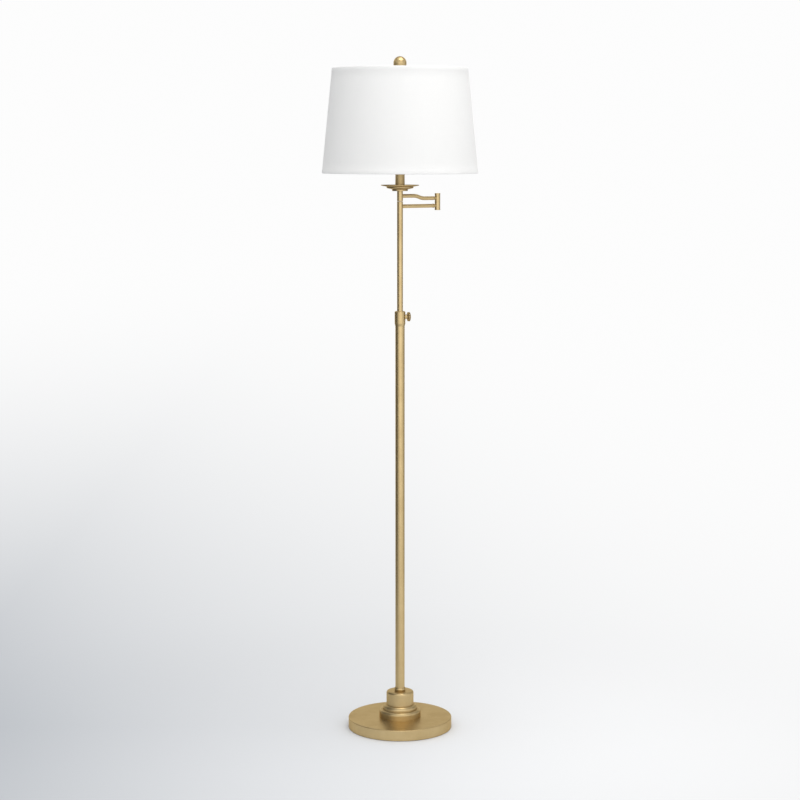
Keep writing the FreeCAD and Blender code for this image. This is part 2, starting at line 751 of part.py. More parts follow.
def head_stem():
    """Upright stem at the arm's inner end, threaded in its top for the head's pipe."""
    edge = PIVOT_EDGE
    stem = turned(
        (0, STEM_LOW_Z),
        (MAST_R - edge, STEM_LOW_Z),
        (MAST_R, STEM_LOW_Z + edge),
        (MAST_R, STEM_TOP_Z),
        (0, STEM_TOP_Z),
    )
    thread = rod(PIPE_R, STEM_TOP_Z - STEM_THREAD, STEM_TOP_Z)
    flex_up = rod(FLEX_HOLE_R, UPPER_ARM_Z, STEM_TOP_Z)
    socket = lying(rod(ARM_R, ARM_INSET, 2 * MAST_R), UPPER_ARM_Z)
    flex_in = lying(rod(FLEX_HOLE_R, 0, MAST_R), UPPER_ARM_Z)
    return swung(stem.cut(thread.fuse([flex_up, socket, flex_in])))


# ---- Head -------------------------------------------------------------------------

def pan_solid(wall):
    """The drip pan's outline as a solid, drawn in by a wall's thickness: a floor, a
    bead rounded below, and a wide thin rim."""
    corner = wall + (PAN_BEAD_ROUND_R - wall) * HALF_CORNER
    side_z = PAN_BEAD_TOP_Z - PAN_BEAD_SIDE_H
    bead_low_z = side_z - PAN_BEAD_ROUND_R
    return turned(
        (0, STEM_TOP_Z + wall),
        (PAN_FLOOR_R - wall, STEM_TOP_Z + wall),
        (PAN_FLOOR_R - wall, PAN_STEP_Z + wall),
        (PAN_BEAD_R - PAN_BEAD_ROUND_R, bead_low_z + wall),
        ((PAN_BEAD_R - corner, bead_low_z + corner), (PAN_BEAD_R - wall, side_z)),
        (PAN_BEAD_R - wall, PAN_BEAD_TOP_Z + wall),
        (PAN_RIM_R - wall, PAN_RIM_LOW_Z + wall),
        (PAN_RIM_R - wall, PAN_RIM_Z),
        (0, PAN_RIM_Z),
    )


def drip_pan():
    """Shallow stepped pan under the neck."""
    pipe_hole = rod(PIPE_HOLE_R, STEM_TOP_Z, PAN_FLOOR_Z)
    return pan_solid(0).cut(pan_solid(PAN_WALL).fuse(pipe_hole))


def pan_nut():
    return hex_nut(PAN_FLOOR_Z)


def neck_tube():
    return turned(
        (NECK_LOW_R - NECK_WALL, PAN_FLOOR_Z),
        (NECK_LOW_R, PAN_FLOOR_Z),
        (NECK_TOP_R, NECK_TOP_Z),
        (NECK_TOP_R - NECK_WALL, NECK_TOP_Z),
    )


def neck_ring():
    """Ring that closes the neck's top and stands proud of it all round."""
    spigot_r = NECK_TOP_R - NECK_WALL - LOOSE
    return turned(
        (PIPE_HOLE_R, NECK_TOP_Z - NECK_RING_SPIGOT),
        (spigot_r, NECK_TOP_Z - NECK_RING_SPIGOT),
        (spigot_r, NECK_TOP_Z),
        (NECK_RING_R, NECK_TOP_Z),
        (NECK_RING_R, NECK_RING_TOP_Z),
        (PIPE_HOLE_R, NECK_RING_TOP_Z),
    )


def head_pipe():
    """Threaded pipe from the stem up through the pan, neck and saddle to the socket."""
    return tube(PIPE_R, PIPE_BORE_R, STEM_TOP_Z - STEM_THREAD, SADDLE_TOP_Z + SOCKET_HUB_H)


def harp_saddle():
    """Flat bar with an upright ear at each end."""
    end_x = EAR_X + EAR_THICK
    bar = block((-end_x, -SADDLE_WIDTH / 2, NECK_RING_TOP_Z), (end_x, SADDLE_WIDTH / 2, SADDLE_TOP_Z))
    right_ear = block((EAR_X, -EAR_WIDTH / 2, SADDLE_TOP_Z), (end_x, EAR_WIDTH / 2, EAR_TOP_Z))
    left_ear = block((-end_x, -EAR_WIDTH / 2, SADDLE_TOP_Z), (-EAR_X, EAR_WIDTH / 2, EAR_TOP_Z))
    return bar.fuse([right_ear, left_ear]).cut(rod(PIPE_HOLE_R, NECK_RING_TOP_Z, SADDLE_TOP_Z))


def harp_sleeves():
    """Two sleeves, each slid down over an ear of the saddle and a foot of the harp."""
    right = tube(SLEEVE_R, SLEEVE_BORE_R, SADDLE_TOP_Z, SADDLE_TOP_Z + SLEEVE_H)
    right.translate(V(SLEEVE_X, 0, 0))
    return Part.makeCompound([right, right.mirror(ORIGIN, V(1, 0, 0))])


def harp():
    """Wire loop round the bulb: straight feet, a flare, long sides and a flat top."""
    flare = math.radians(HARP_FLARE_DEG)
    flare_sum = (HARP_HALF_WIDTH - HARP_FOOT_X) / (1 - math.cos(flare))
    widest_z = HARP_STRAIGHT_Z + flare_sum * math.sin(flare)
    run_in = HARP_HALF_WIDTH - HARP_FLAT_X - HARP_TOP_R
    rise = HARP_TOP_Z - HARP_TOP_R - widest_z
    spread = (run_in ** 2 + rise ** 2) / (2 * run_in)
    side_turn = math.degrees(math.atan2(rise, spread - run_in))
    up_left = [
        HARP_STRAIGHT_Z - SADDLE_TOP_Z,
        (HARP_FLARE_R, HARP_FLARE_DEG),
        (flare_sum - HARP_FLARE_R, -HARP_FLARE_DEG),
        (spread + HARP_TOP_R, -side_turn),
        (HARP_TOP_R, side_turn - 90),
    ]
    path = trail((-HARP_FOOT_X, SADDLE_TOP_Z), 90, *up_left, 2 * HARP_FLAT_X, *reversed(up_left))
    boss = rod(HARP_BOSS_R, HARP_BOSS_LOW_Z, HARP_BOSS_TOP_Z)
    hole = rod(STUD_SHANK_R + RUNNING, HARP_BOSS_LOW_Z, HARP_BOSS_TOP_Z)
    return swept(path, HARP_WIRE_R).fuse(boss).cut(hole)


# ---- Socket and bulb --------------------------------------------------------------

def switch_hole(radius):
    """A hole out through the side of the socket, on the line of the switch."""
    return lying(rod(radius, 0, 2 * SOCKET_CAP_R), SWITCH_Z, SWITCH_AZIMUTH)


def socket_cap():
    """Domed cup with a threaded hub, which holds the socket's shell."""
    outer_mid = (
        (SOCKET_HUB_R + SOCKET_CAP_R) / 2 + SOCKET_DOME_BULGE,
        SADDLE_TOP_Z + SOCKET_DOME_H / 2 - SOCKET_DOME_BULGE,
    )
    inner_mid = (outer_mid[0] - SOCKET_WALL, outer_mid[1] + SOCKET_WALL)
    inner_r = SOCKET_SHELL_R
    return turned(
        (PIPE_R, SADDLE_TOP_Z),
        (SOCKET_HUB_R, SADDLE_TOP_Z),
        (outer_mid, (SOCKET_CAP_R, SADDLE_TOP_Z + SOCKET_DOME_H)),
        (SOCKET_CAP_R, SADDLE_TOP_Z + SOCKET_CAP_H),
        (inner_r, SADDLE_TOP_Z + SOCKET_CAP_H),
        (inner_r, SADDLE_TOP_Z + SOCKET_DOME_H + SOCKET_WALL),
        (inner_mid, (SOCKET_HUB_R, SADDLE_TOP_Z + 2 * SOCKET_WALL)),
        (SOCKET_HUB_R, SADDLE_TOP_Z + SOCKET_HUB_H),
        (PIPE_R, SADDLE_TOP_Z + SOCKET_HUB_H),
    )


def socket_shell():
    """Brass shell with a rolled edge round its mouth."""
    low_z = SADDLE_TOP_Z + SOCKET_BODY_H
    shell = tube(SOCKET_SHELL_R, SOCKET_SHELL_R - SOCKET_WALL, low_z, SOCKET_TOP_Z)
    rolled_edge = Part.makeTorus(SOCKET_SHELL_R, SOCKET_WALL, V(0, 0, SOCKET_TOP_Z))
    return shell.fuse(rolled_edge).cut(switch_hole(SWITCH_HOLE_R))


def socket_liner():
    """Insulating sleeve inside the shell."""
    low_z = SADDLE_TOP_Z + SOCKET_BODY_H
    liner = tube(SOCKET_LINER_R, SOCKET_BODY_R, low_z, SOCKET_TOP_Z - SOCKET_WALL)
    return liner.cut(switch_hole(SWITCH_HOLE_R))


def socket_body():
    """Moulded body with the switch's shaft hole and two wells for the terminal screws."""
    low_z = SADDLE_TOP_Z + SOCKET_BODY_H
    body = rod(SOCKET_BODY_R, low_z, SOCKET_BODY_TOP_Z)
    wells = [
        lying(rod(CONTACT_R, SOCKET_BODY_R / 2, SOCKET_BODY_R), SWITCH_Z - CONTACT_R, azimuth)
        for azimuth in (0, 180)
    ]
    return body.cut(switch_hole(SWITCH_SHAFT_R + RUNNING).fuse(wells))


def socket_screw_shell():
    """Thin threaded shell that the bulb's base screws into."""
    bore_r = SCREW_SHELL_R - SCREW_SHELL_WALL
    return tube(SCREW_SHELL_R, bore_r, SOCKET_BODY_TOP_Z, SCREW_SHELL_TOP_Z)


def socket_contact():
    return rod(CONTACT_R, SOCKET_BODY_TOP_Z, BULB_TIP_Z)


def switch_shaft():
    return lying(rod(SWITCH_SHAFT_R, SWITCH_SHAFT_START, SWITCH_KNOB_END - SWITCH_SHAFT_START),
                 SWITCH_Z, SWITCH_AZIMUTH)


def switch_knob():
    """Small turned key knob, waisted behind its grip."""
    shaft_end = SWITCH_KNOB_END - SWITCH_SHAFT_START
    grip_start = SWITCH_KNOB_START + SWITCH_KNOB_R
    knob = turned(
        (SWITCH_SHAFT_R, SWITCH_KNOB_START),
        (SWITCH_KNOB_WAIST_R, SWITCH_KNOB_START),
        (SWITCH_KNOB_WAIST_R, grip_start - SWITCH_KNOB_EDGE),
        (SWITCH_KNOB_R, grip_start),
        (SWITCH_KNOB_R, SWITCH_KNOB_END - SWITCH_KNOB_EDGE),
        (SWITCH_KNOB_R - SWITCH_KNOB_EDGE, SWITCH_KNOB_END),
        (0, SWITCH_KNOB_END),
        (0, shaft_end),
        (SWITCH_SHAFT_R, shaft_end),
    )
    return lying(knob, SWITCH_Z, SWITCH_AZIMUTH)


def bulb_solid(wall):
    """The bulb's glass as a solid, drawn in by a wall's thickness: a neck, a taper that
    leaves the round at its angle, and the round itself."""
    radius = BULB_R - wall
    neck_r = BULB_NECK_R - wall
    taper = math.radians(BULB_TAPER_DEG)
    leave = (radius * math.cos(taper), BULB_CENTRE_Z - radius * math.sin(taper))
    taper_foot_z = leave[1] - (leave[0] - neck_r) / math.tan(taper)
    halfway = math.radians((90 - BULB_TAPER_DEG) / 2)
    through = (radius * math.cos(halfway), BULB_CENTRE_Z + radius * math.sin(halfway))
    return turned(
        (0, BULB_BASE_TOP_Z + wall),
        (neck_r, BULB_BASE_TOP_Z + wall),
        (neck_r, taper_foot_z),
        leave,
        (through, (0, BULB_CENTRE_Z + radius)),
    )


def bulb_glass():
    return bulb_solid(0).cut(bulb_solid(BULB_WALL))


def bulb_base():
    """Screw base of the bulb, a hollow cup with its contact at the tip."""
    inner_r = BULB_BASE_R - BULB_BASE_WALL
    return turned(
        (0, BULB_TIP_Z),
        (BULB_TIP_R, BULB_TIP_Z),
        (BULB_BASE_R, BULB_BASE_LOW_Z),
        (BULB_BASE_R, BULB_BASE_TOP_Z),
        (inner_r, BULB_BASE_TOP_Z),
        (inner_r, BULB_BASE_LOW_Z + BULB_BASE_WALL),
        (0, BULB_BASE_LOW_Z + BULB_BASE_WALL),
    )


# ---- Shade ------------------------------------------------------------------------

def shade_skin(outer_depth, inner_depth):
    """A cone's wall between two depths into the shade, short of the hems at both edges."""
    low_z = SHADE_LOW_Z + HEM_WALL
    top_z = SHADE_TOP_Z - HEM_WALL
    return turned(
        (shade_r(low_z, inner_depth), low_z),
        (shade_r(low_z, outer_depth), low_z),
        (shade_r(top_z, outer_depth), top_z),
        (shade_r(top_z, inner_depth), top_z),
    )


def shade_fabric():
    return shade_skin(0, FABRIC_WALL)


def shade_liner():
    return shade_skin(FABRIC_WALL, SHADE_WALL)


def shade_ring(z):
    return Part.makeTorus(shade_r(z, RING_DEPTH), RING_WIRE_R, V(0, 0, z))


def shade_top_ring():
    return shade_ring(TOP_RING_Z)


def shade_bottom_ring():
    return shade_ring(LOW_RING_Z)


def shade_hem(edge_z, inward):
    """Turned-in fabric at an edge: over the wall's end, round the wire and along the
    liner. Inward is the way from the edge to the shade's middle, 1 for up, -1 for down."""
    ring_depth = SHADE_WALL + 2 * (LOOSE + RING_WIRE_R)
    ring_far = HEM_WALL + 2 * RING_WIRE_R + LOOSE

    def at(depth, distance):
        z = edge_z + inward * distance
        return (shade_r(z, depth), z)

    return turned(
        at(0, HEM_WALL),
        at(0, 0),
        at(ring_depth + HEM_WALL, 0),
        at(ring_depth + HEM_WALL, ring_far),
        at(SHADE_WALL + HEM_WALL, HEM_SLANT),
        at(SHADE_WALL + HEM_WALL, HEM_H),
        at(SHADE_WALL, HEM_H),
        at(SHADE_WALL, HEM_SLANT - HEM_WALL / 2),
        at(ring_depth, ring_far - HEM_WALL / 2),
        at(ring_depth, HEM_WALL),
    )


def spokes(radius):
    """Round bars of the spider: each runs level from the hub and then rises to the ring."""
    start_z = HUB_Z + HUB_H / 2
    climb = math.radians(SPOKE_RISE_DEG)
    slant = (TOP_RING_Z - start_z - SPOKE_BEND_R * (1 - math.cos(climb))) / math.sin(climb)
    level = shade_r(TOP_RING_Z, RING_DEPTH) - SPOKE_START
    level -= SPOKE_BEND_R * math.sin(climb) + slant * math.cos(climb)
    path = trail((SPOKE_START, start_z), 0, level, (SPOKE_BEND_R, SPOKE_RISE_DEG), slant)
    bars = []
    for n in range(SPOKE_COUNT):
        bar = swept(path, radius)
        bar.rotate(ORIGIN, UP, SPOKE_FIRST_AZIMUTH + n * 360 / SPOKE_COUNT)
        bars.append(bar)
    return bars


def shade_top_hem():
    """The hem at the top, slit where the spokes come through to the ring."""
    return shade_hem(SHADE_TOP_Z, -1).cut(spokes(SPOKE_R + LOOSE))


def shade_bottom_hem():
    return shade_hem(SHADE_LOW_Z, 1)


def harp_stud():
    """Stud that turns in the harp's top: a peened foot, a collar and a threaded end."""
    head_top_z = HARP_BOSS_LOW_Z - LOOSE
    head_low_z = head_top_z - STUD_HEAD_H
    collar_z = HARP_BOSS_TOP_Z + LOOSE
    return turned(
        (0, head_low_z),
        (STUD_HEAD_R, head_low_z),
        (STUD_HEAD_R, head_top_z),
        (STUD_SHANK_R, head_top_z),
        (STUD_SHANK_R, collar_z),
        (STUD_COLLAR_R, collar_z),
        (STUD_COLLAR_R, HUB_Z),
        (STUD_THREAD_R, HUB_Z),
        (STUD_THREAD_R, STUD_TOP_Z),
        (0, STUD_TOP_Z),
    )


def shade_spider():
    """Hub on the stud, with the spokes that carry the top ring."""
    hub = rod(HUB_R, HUB_Z, HUB_Z + HUB_H)
    stud_hole = rod(STUD_THREAD_R, HUB_Z, HUB_Z + HUB_H)
    return hub.fuse(spokes(SPOKE_R)).cut([shade_top_ring(), stud_hole])


def finial():
    """Domed knob that screws down on the stud and holds the shade."""
    neck_low_z = HUB_Z + HUB_H + AXIAL
    bore_r = STUD_THREAD_R + RUNNING
    side_z = FINIAL_TOP_Z - FINIAL_R
    corner = FINIAL_R * HALF_CORNER
    return turned(
        (0, STUD_TOP_Z + LOOSE),
        (bore_r, STUD_TOP_Z + LOOSE),
        (bore_r, neck_low_z),
        (FINIAL_NECK_R, neck_low_z),
        (FINIAL_NECK_R, FINIAL_NECK_TOP_Z),
        (FINIAL_R - FINIAL_FOOT_EDGE, FINIAL_FOOT_Z),
        (FINIAL_R, FINIAL_FOOT_Z + FINIAL_FOOT_EDGE),
        (FINIAL_R, side_z),
        ((FINIAL_R - corner, FINIAL_TOP_Z - corner), (0, FINIAL_TOP_Z)),
    )


# ---- Every piece, from the floor up -----------------------------------------------

PIECES = [
    base_felt, base_shell, base_weight, cord_inlet_bushing, base_cap,
    lamp_pipe, pipe_washer, pipe_nut,
    pole_foot_bushing, pole_foot_ring, lower_pole, clamp_collar, collar_liner,
    clamp_shoe, thumb_screw, thumb_knob,
    mast_tube, mast_guide_ring, mast_pivot, mast_pivot_washer, mast_pivot_nut,
    lower_arm_knuckle, lower_arm_tube, lower_arm_tip,
    elbow_lower_knuckle, elbow_pivot, elbow_washer, elbow_bottom_cap, elbow_top_cap,
    elbow_upper_knuckle, upper_arm_tube, upper_arm_tip, head_stem,
    drip_pan, pan_nut, neck_tube, neck_ring, head_pipe,
    harp_saddle, harp_sleeves, harp,
    socket_cap, socket_shell, socket_liner, socket_body, socket_screw_shell, socket_contact,
    switch_shaft, switch_knob, bulb_glass, bulb_base,
    harp_stud, shade_spider, shade_top_ring, shade_bottom_ring,
    shade_liner, shade_fabric, shade_top_hem, shade_bottom_hem,
    finial,
]

os.makedirs("parts", exist_ok=True)
for piece in PIECES:
    shape = piece()
    shape.exportStep(os.path.join("parts", piece.__name__ + ".step"))
    print(f"{piece.__name__:22s} solids {len(shape.Solids)}  valid {shape.isValid()}"
          f"  volume {shape.Volume / 1000:9.3f} cm3")
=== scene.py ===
"""Looks of the brass swing-arm floor lamp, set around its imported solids.

Metres, Z up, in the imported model's own frame. The lamp's column stands on the Z axis and the
camera looks along +Y.
"""

import math

import bpy
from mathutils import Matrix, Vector


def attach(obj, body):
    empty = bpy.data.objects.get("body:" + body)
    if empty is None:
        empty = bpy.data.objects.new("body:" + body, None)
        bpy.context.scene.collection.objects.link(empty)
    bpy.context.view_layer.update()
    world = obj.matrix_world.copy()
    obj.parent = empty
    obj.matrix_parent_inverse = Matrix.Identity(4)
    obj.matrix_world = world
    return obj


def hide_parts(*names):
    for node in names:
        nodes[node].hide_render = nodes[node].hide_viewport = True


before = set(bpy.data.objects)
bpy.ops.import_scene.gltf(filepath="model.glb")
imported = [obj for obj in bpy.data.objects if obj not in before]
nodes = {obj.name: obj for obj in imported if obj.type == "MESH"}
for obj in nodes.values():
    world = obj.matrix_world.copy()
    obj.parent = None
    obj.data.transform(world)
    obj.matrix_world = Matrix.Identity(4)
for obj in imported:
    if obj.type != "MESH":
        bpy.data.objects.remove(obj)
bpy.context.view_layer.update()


# ---- Camera -----------------------------------------------------------------------

PHOTO_WIDTH_PX = 800
LENS_PX = 1957.5
SENSOR_MM = 36
CAMERA_DISTANCE = 4.6294
CAMERA_HEIGHT = 1.4031
CAMERA_DOWN = 0.1292
CAMERA_REACH = 200


def add_camera():
    bpy.ops.object.camera_add(
        location=(0, -CAMERA_DISTANCE, CAMERA_HEIGHT),
        rotation=(math.pi / 2 - CAMERA_DOWN, 0, 0),
    )
    camera = bpy.context.object
    camera.name = "camera"
    camera.data.sensor_width = SENSOR_MM
    camera.data.lens = LENS_PX * SENSOR_MM / PHOTO_WIDTH_PX
    camera.data.clip_end = CAMERA_REACH
    bpy.context.scene.camera = camera


# ---- Shader sums and nodes --------------------------------------------------------


class Amount:
    """A socket whose number varies over a surface. A sum of amounts adds its Math nodes."""

    def __init__(self, finish, socket):
        self.finish = finish
        self.socket = socket

    def __add__(self, other):
        return self.finish.maths("ADD", self, other)

    __radd__ = __add__

    def __sub__(self, other):
        return self.finish.maths("SUBTRACT", self, other)

    def __rsub__(self, other):
        return self.finish.maths("SUBTRACT", other, self)

    def __mul__(self, other):
        return self.finish.maths("MULTIPLY", self, other)

    __rmul__ = __mul__

    def __truediv__(self, other):
        return self.finish.maths("DIVIDE", self, other)

    def __pow__(self, other):
        return self.finish.maths("POWER", self, other)

    def __abs__(self):
        return self.finish.maths("ABSOLUTE", self)


class Outputs:
    """A node's outputs by name or number, each as an Amount."""

    def __init__(self, finish, node):
        self.finish = finish
        self.node = node

    def __getitem__(self, name):
        return Amount(self.finish, self.node.outputs[name])


class Finish:
    """A material or world in the making."""

    def __init__(self, owner, output="ShaderNodeOutputMaterial"):
        self.owner = owner
        owner.use_nodes = True
        self.tree = owner.node_tree
        self.tree.nodes.clear()
        self.output = self.tree.nodes.new(output)

    def add(self, kind, settings=None, values=None):
        """Adds a node: its settings first, then its sockets' values or links."""
        node = self.tree.nodes.new(kind)
        for name, value in (settings or {}).items():
            if name == "stops":
                self.set_stops(node.color_ramp, value)
            else:
                setattr(node, name, value)
        for name, value in (values or {}).items():
            self.feed(node.inputs[name], value)
        return Outputs(self, node)

    def set_stops(self, ramp, stops):
        while len(ramp.elements) < len(stops):
            ramp.elements.new(1)
        for element, (position, colour) in zip(ramp.elements, stops):
            element.position = position
            element.color = (*colour, 1)

    def feed(self, socket, value):
        if isinstance(value, Amount):
            self.tree.links.new(value.socket, socket)
        elif socket.type == "RGBA":
            socket.default_value = (*value, 1)
        else:
            socket.default_value = value

    def maths(self, operation, *values):
        node = self.add("ShaderNodeMath", {"operation": operation}, dict(enumerate(values)))
        return node["Value"]

    def show(self, shader):
        self.feed(self.output.inputs["Surface"], shader)

    def place(self, centre=(0, 0, 0), turn=0):
        """Coordinates on the object, from a centre, after a turn about the upright."""
        place = self.add("ShaderNodeTexCoord")["Object"]
        if centre == (0, 0, 0) and turn == 0:
            return place
        return self.add(
            "ShaderNodeMapping",
            {"vector_type": "TEXTURE"},
            {"Vector": place, "Location": centre, "Rotation": (0, 0, turn)},
        )["Vector"]

    def parts(self, vector):
        separate = self.add("ShaderNodeSeparateXYZ", None, {"Vector": vector})
        return separate["X"], separate["Y"], separate["Z"]

    def vector(self, x, y, z):
        return self.add("ShaderNodeCombineXYZ", None, {"X": x, "Y": y, "Z": z})["Vector"]

    def stretched(self, vector, scale):
        sizes = {0: vector, 1: scale}
        return self.add("ShaderNodeVectorMath", {"operation": "MULTIPLY"}, sizes)["Vector"]

    def noise(self, vector, scale, detail=3, roughness=0.5):
        return self.add(
            "ShaderNodeTexNoise",
            None,
            {"Vector": vector, "Scale": scale, "Detail": detail, "Roughness": roughness},
        )["Fac"]

    def cells(self, vector, scale):
        cells = self.add("ShaderNodeTexVoronoi", None, {"Vector": vector, "Scale": scale})
        return cells["Distance"]

    def step(self, amount, low, high):
        """0 below low and 1 above high, smoothly. Low may be the larger, which turns it round."""
        return self.add(
            "ShaderNodeMapRange",
            {"interpolation_type": "SMOOTHSTEP"},
            {"Value": amount, "From Min": low, "From Max": high, "To Min": 0, "To Max": 1},
        )["Result"]

    def near(self, amount, at, reach):
        """1 at a value, fading to 0 at its reach."""
        return self.step(abs(amount - at), reach, 0)

    def tint(self, colour, other, share):
        """A colour mixed with another by a share. The Mix node's colour sockets go by number."""
        mix = self.add("ShaderNodeMix", {"data_type": "RGBA"}, {0: share, 6: colour, 7: other})
        return mix[2]

    def bump(self, height, depth):
        """Relief from a height of 0 to 1, this deep in metres."""
        relief = {"Height": height, "Strength": 1, "Distance": depth}
        return self.add("ShaderNodeBump", None, relief)["Normal"]

    def surface(self, **values):
        """The shader that most pieces show, from its sockets' names with _ for a space."""
        named = {name.replace("_", " "): value for name, value in values.items()}
        return self.add("ShaderNodeBsdfPrincipled", None, named)["BSDF"]

    def coat(self, **values):
        """Ends the finish with that shader, and gives its material."""
        self.show(self.surface(**values))
        return self.owner

    def seen(self):
        """1 for what the camera, metal and glass see, and 0 for the light that falls on things."""
        ray = self.add("ShaderNodeLightPath")
        rays = ray["Is Camera Ray"] + ray["Is Glossy Ray"] + ray["Is Transmission Ray"]
        return self.step(rays, 0, 1)


def new_finish(name):
    return Finish(bpy.data.materials.new(name))


# ---- Stage and light --------------------------------------------------------------

BACKDROP_WHITE = 0.98
STUDIO_FILL = 0.83
CEILING_GREY = 0.45
CEILING_RISE = (0.16, 0.75)  # from level to straight up, where the ceiling fades in
PANEL_WATTS = 4  # for a square metre of panel at a level of 1
PAPER_FAR = (BACKDROP_WHITE,) * 3
# Painted shade on the floor: the paper is tinted darker and bluer to the left and towards the front,
# and this fades out far from the lamp.
PAPER_PAINTED_SHADE = (0.50, 0.525, 0.56)
PAPER_PAINTED_SHADE_MOST = 0.46
PAPER_SHADE_START = -1.55
PAPER_SHADE_LEFT_END = -1.2
SHADE_FALL_ACROSS = 0.72
SHADE_FALL_RIGHT = 0.6
SHADE_FALL_BEHIND = 0.33
SHADE_FADE_FAR = (26, 9)
SHADE_FADE_LEFT = (-6, -2)
SHADE_FADE_FRONT = (-5, -0.8)
PLAIN_FROM_LAMP = (0.3, 1.3)
FLOOR_SIZE = 60


def facing(at, aim, axis):
    """The turn that points an object's axis from its place to its aim."""
    return (Vector(aim) - Vector(at)).to_track_quat(axis, "Y").to_euler()


def add_world():
    """An even studio, seen as white paper by the camera and in metal and glass. Overhead, metal
    sees its darker ceiling."""
    world = bpy.data.worlds.new("studio")
    bpy.context.scene.world = world
    studio = Finish(world, "ShaderNodeOutputWorld")
    seen = studio.seen()
    up = studio.parts(studio.add("ShaderNodeTexCoord")["Generated"])[2]
    ceiling = studio.step(up, *CEILING_RISE)
    paper = BACKDROP_WHITE - (BACKDROP_WHITE - CEILING_GREY) * ceiling
    level = STUDIO_FILL * (1 - seen) + paper * seen
    white = {"Color": (1, 1, 1), "Strength": level}
    studio.show(studio.add("ShaderNodeBackground", None, white)["Background"])


def add_panel(name, at, aim, width, height, level):
    """A soft light panel. Level is how bright its face is, where 1 is white."""
    bpy.ops.object.light_add(type="AREA", location=at, rotation=facing(at, aim, "-Z"))
    panel = bpy.context.object
    panel.name = name
    panel.data.shape = "RECTANGLE"
    panel.data.size = width
    panel.data.size_y = height
    panel.data.energy = PANEL_WATTS * level * width * height
    panel.visible_camera = False


def add_card(name, at, aim, width, height, grey):
    """A card beside the lamp that darkens what the brass mirrors. The camera doesn't see it."""
    bpy.ops.object.select_all(action="DESELECT")
    bpy.ops.mesh.primitive_plane_add(location=at, rotation=facing(at, aim, "Z"))
    card = bpy.context.object
    card.name = name
    card.scale = (width / 2, height / 2, 1)
    card.visible_camera = False
    card.visible_diffuse = False
    paint = new_finish(name).coat(Base_Color=(grey,) * 3, Roughness=1, Specular_IOR_Level=0)
    card.data.materials.append(paint)


def paper_finish():
    """Pale paper with painted shade, which darkens it to the left and towards the front, as the
    photograph's does: lit and shadowed near the lamp, and plain and white far from it."""
    finish = new_finish("pale_paper")
    x, y, _ = finish.parts(finish.place())
    distance = (x * x + y * y) ** 0.5
    right = finish.maths("MAXIMUM", x, 0)
    behind = finish.maths("MAXIMUM", y, 0)
    across = finish.maths("MAXIMUM", x, PAPER_SHADE_LEFT_END)
    # Painted shade: how much darker the paper is painted here, most to the left and towards the front.
    shade_fall = SHADE_FALL_ACROSS * across + SHADE_FALL_RIGHT * right + SHADE_FALL_BEHIND * behind
    reach = finish.step(distance, *SHADE_FADE_FAR) * finish.step(x, *SHADE_FADE_LEFT) * finish.step(y, *SHADE_FADE_FRONT)
    painted_shade = finish.maths("EXPONENT", PAPER_SHADE_START - shade_fall)
    painted_shade = finish.maths("MINIMUM", painted_shade, PAPER_PAINTED_SHADE_MOST) * reach
    shade = finish.tint(PAPER_FAR, PAPER_PAINTED_SHADE, painted_shade / PAPER_PAINTED_SHADE_MOST)
    lit = finish.surface(Base_Color=shade, Roughness=1, Specular_IOR_Level=0)
    plain = finish.add("ShaderNodeEmission", None, {"Color": shade, "Strength": 1})["Emission"]
    share = finish.seen() * finish.step(distance, *PLAIN_FROM_LAMP)
    finish.show(finish.add("ShaderNodeMixShader", None, {0: share, 1: lit, 2: plain})["Shader"])
    return finish.owner


def add_floor():
    bpy.ops.object.select_all(action="DESELECT")
    bpy.ops.mesh.primitive_plane_add(size=FLOOR_SIZE, location=(0, 0, 0))
    floor = bpy.context.object
    floor.name = "floor"
    floor.data.materials.append(paper_finish())


# ---- Finishes ---------------------------------------------------------------------

BRASS = (0.62, 0.475, 0.25)
BRASS_DEEP = (0.51, 0.375, 0.182)
# Tarnish brown, for the real specks and for the painted shade in crevices and over shaded parts.
BRASS_TARNISH_AND_SHADE = (0.17, 0.105, 0.042)
BRASS_EDGE = (0.82, 0.7, 0.5)
LINES_PER_M = 2600
LINES_ALONG = 14
LINES_ROUND = 40


def brass_lines(finish, place, grain):
    """The polishing wheel's fine lines, 0 to 1: round a turned piece, or along a tube."""
    if grain == "round":
        x, y, z = finish.parts(place)
        along = z + 0.8 * (x * x + y * y) ** 0.5
        drawn = finish.vector(x * LINES_ROUND, y * LINES_ROUND, along * LINES_PER_M)
    elif grain == "upright":
        drawn = finish.stretched(place, (LINES_PER_M, LINES_PER_M, LINES_ALONG))
    else:
        drawn = finish.stretched(place, (LINES_ALONG, LINES_PER_M, LINES_PER_M))
    return finish.noise(drawn, 1, 2)


